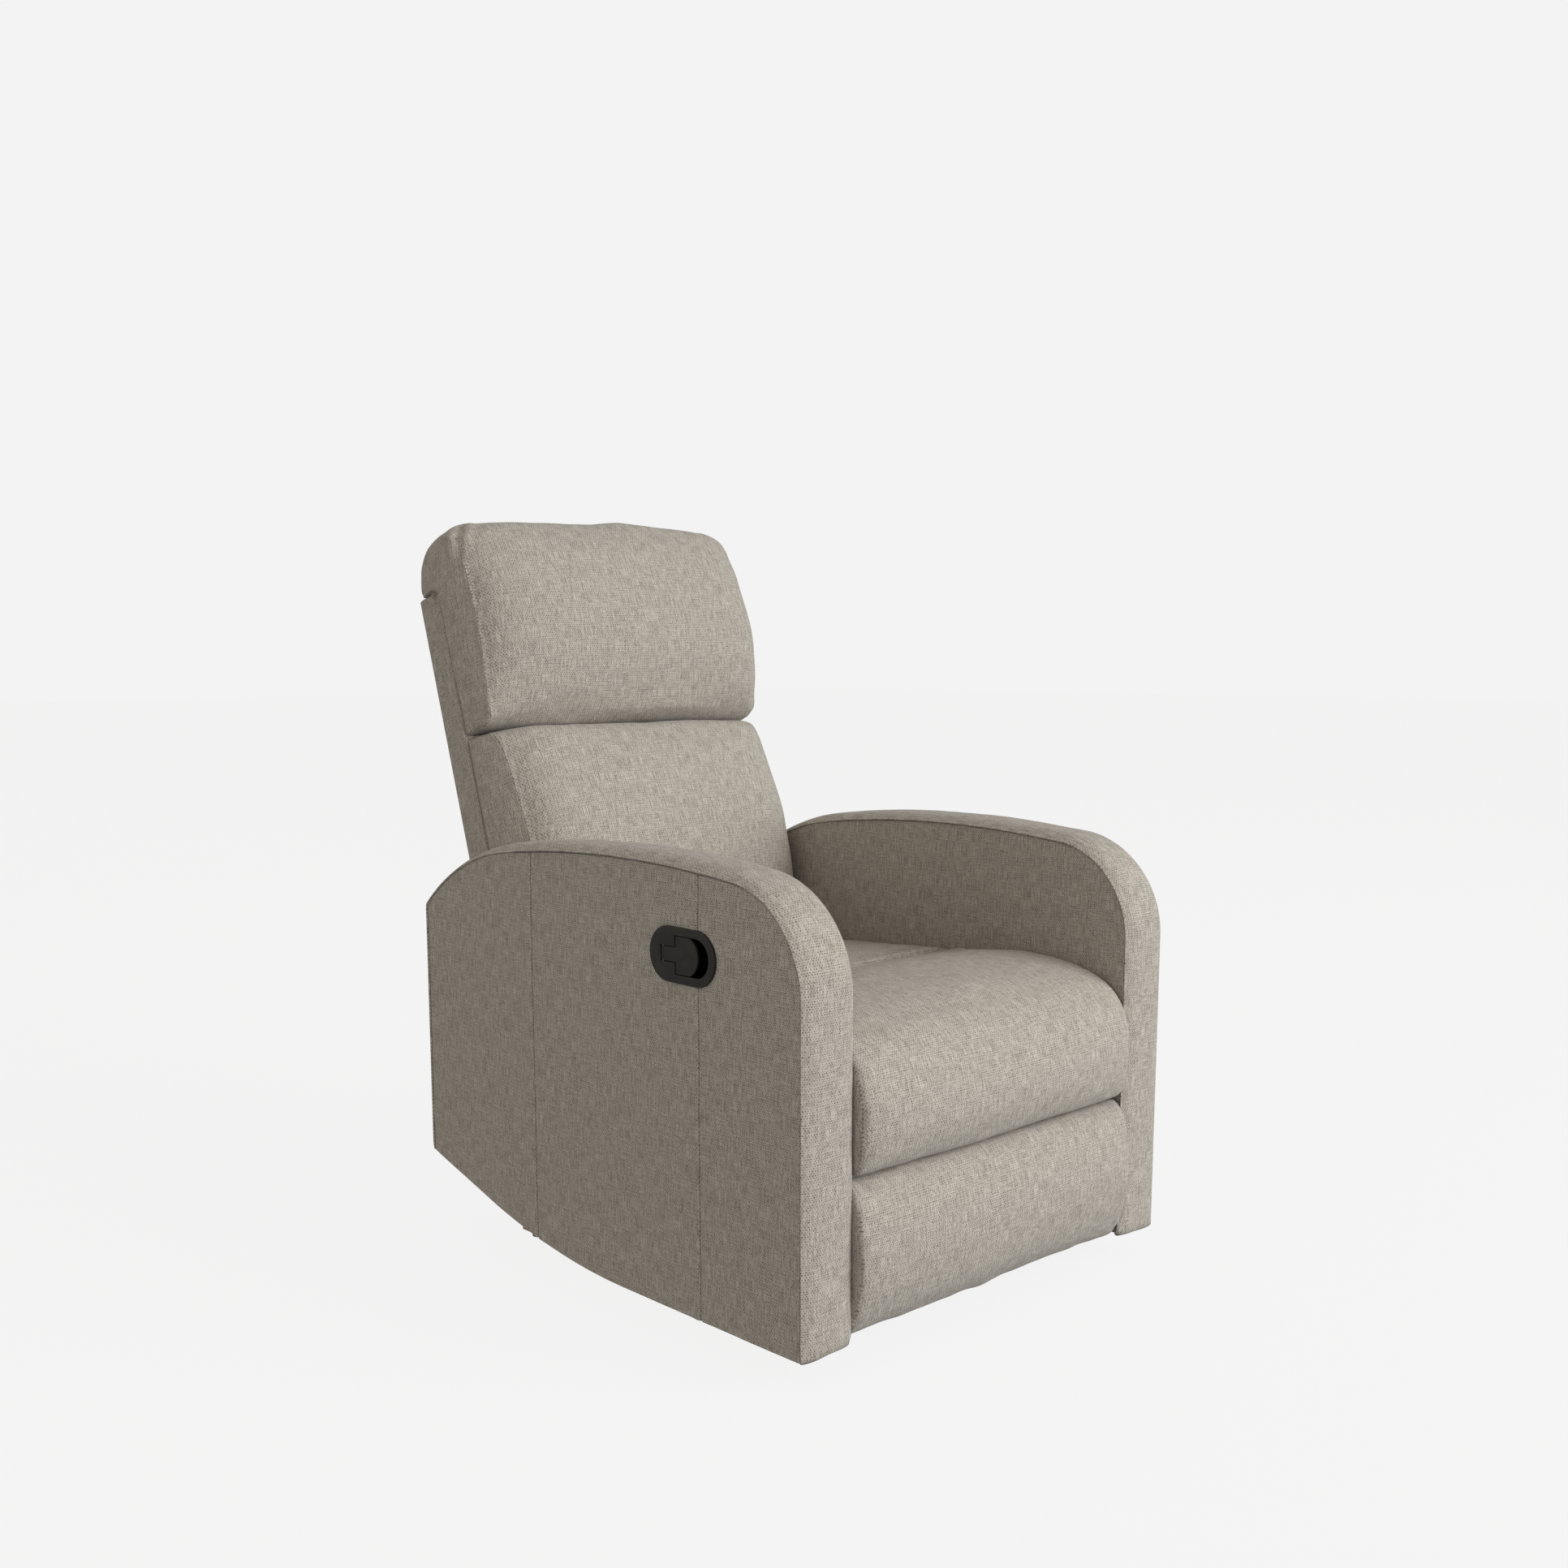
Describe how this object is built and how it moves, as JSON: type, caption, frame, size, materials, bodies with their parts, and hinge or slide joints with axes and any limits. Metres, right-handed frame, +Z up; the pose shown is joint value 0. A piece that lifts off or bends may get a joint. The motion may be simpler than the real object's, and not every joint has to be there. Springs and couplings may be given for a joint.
{
  "type": "recliner armchair",
  "caption": "Upholstered rocker recliner with padded arms, a reclining back, a fold-out footrest and a recessed pull handle.",
  "frame": {"origin": "on the floor, under the middle of the closed chair", "axes": "the chair's front faces -Y, +X is the sitter's left and +Z is up"},
  "size_m": [0.705, 0.9497, 1.0346],
  "materials": {
    "upholstery_fabric": "matte",
    "hardwood": "matte",
    "black_plastic": "satin",
    "zinc_steel": "satin",
    "black_steel": "satin",
    "deck_cloth": "matte",
    "webbing": "matte",
    "cable_sheath": "satin"
  },
  "bodies": {
    "base": {"base_rails": "hardwood", "base_cross_rails": "hardwood", "base_wear_strips": "black_steel", "base_glides": "black_plastic", "base_spring_brackets": "black_steel", "base_bolts": "zinc_steel"},
    "footrest_drive": {"torque_tube": "zinc_steel", "drive_links": "black_steel", "latch_disc": "black_steel", "knee_pins": "zinc_steel"},
    "footrest_outer": {"outer_links": "black_steel", "stabiliser_bar": "zinc_steel", "footrest_pins": "zinc_steel"},
    "footrest": {"footrest_brackets": "black_steel", "footrest_board": "hardwood", "footrest_pad": "upholstery_fabric", "footrest_screws": "zinc_steel"},
    "handle": {"handle_paddle": "black_plastic"},
    "latch": {"latch_pawl": "black_steel"},
    "back": {"back_frame": "hardwood", "back_rear_cover": "upholstery_fabric", "back_webbing": "webbing", "back_brackets": "black_steel", "back_pivot_pins": "zinc_steel", "back_bolts": "zinc_steel", "lumbar_cushion": "upholstery_fabric", "head_cushion": "upholstery_fabric"},
    "seat_frame": {"rocker_springs": "zinc_steel", "rocker_cams": "hardwood", "rocker_spring_brackets": "black_steel", "arm_frame_left": "hardwood", "arm_frame_right": "hardwood", "arm_outer_panel_left": "upholstery_fabric", "arm_outer_panel_right": "upholstery_fabric", "arm_inner_panel_left": "upholstery_fabric", "arm_inner_panel_right": "upholstery_fabric", "arm_band_left": "upholstery_fabric", "arm_band_right": "upholstery_fabric", "arm_bolts": "zinc_steel", "rear_stretcher": "hardwood", "rear_drape": "upholstery_fabric", "seat_side_rails": "hardwood", "seat_front_rail": "hardwood", "seat_rear_rail": "hardwood", "seat_springs": "zinc_steel", "seat_deck": "deck_cloth", "seat_cushion": "upholstery_fabric", "mechanism_plates": "black_steel", "rear_hinge_plates": "black_steel", "footrest_springs": "zinc_steel", "handle_bezel": "black_plastic", "handle_cup": "black_plastic", "handle_pin": "zinc_steel", "handle_screws": "zinc_steel", "release_cable": "cable_sheath", "cable_bracket": "black_steel", "latch_pin": "zinc_steel"}
  },
  "joints": [
    {"name": "rock", "type": "hinge", "parent": "base", "child": "seat_frame", "pos_m": [0, -0.02, 0.069], "axis": [-1, 0, 0], "range_deg": [-4, 8], "stiffness_Nm_per_rad": 900, "deforming": ["rocker_springs"]},
    {"name": "footrest_open", "type": "hinge", "parent": "seat_frame", "child": "footrest_drive", "pos_m": [0, -0.33, 0.205], "axis": [-1, 0, 0], "range_deg": [0, 145], "deforming": ["footrest_springs"]},
    {"name": "footrest_knee", "type": "hinge", "parent": "footrest_drive", "child": "footrest_outer", "pos_m": [0, -0.21333, 0.11073], "axis": [-1, 0, 0], "range_deg": [-135.2, 0]},
    {"name": "footrest_tilt", "type": "hinge", "parent": "footrest_outer", "child": "footrest", "pos_m": [0, -0.386, 0.19], "axis": [-1, 0, 0], "range_deg": [0, 87.2]},
    {"name": "back_recline", "type": "hinge", "parent": "seat_frame", "child": "back", "pos_m": [0, 0.26, 0.37], "axis": [-1, 0, 0], "range_deg": [0, 32]},
    {"name": "handle_pull", "type": "hinge", "parent": "seat_frame", "child": "handle", "pos_m": [-0.352, -0.201, 0.4915], "axis": [0, 0, -1], "range_deg": [0, 35], "stiffness_Nm_per_rad": 0.6},
    {"name": "latch_release", "type": "hinge", "parent": "seat_frame", "child": "latch", "pos_m": [-0.247, -0.262, 0.207], "axis": [-1, 0, 0], "range_deg": [0, 20.1]}
  ],
  "couplings": [
    {"joint": "footrest_knee", "follows": "footrest_open", "ratio": -0.92897},
    {"joint": "footrest_tilt", "follows": "footrest_open", "ratio": 0.59793},
    {"joint": "latch_release", "follows": "handle_pull", "ratio": 0.57143}
  ]
}
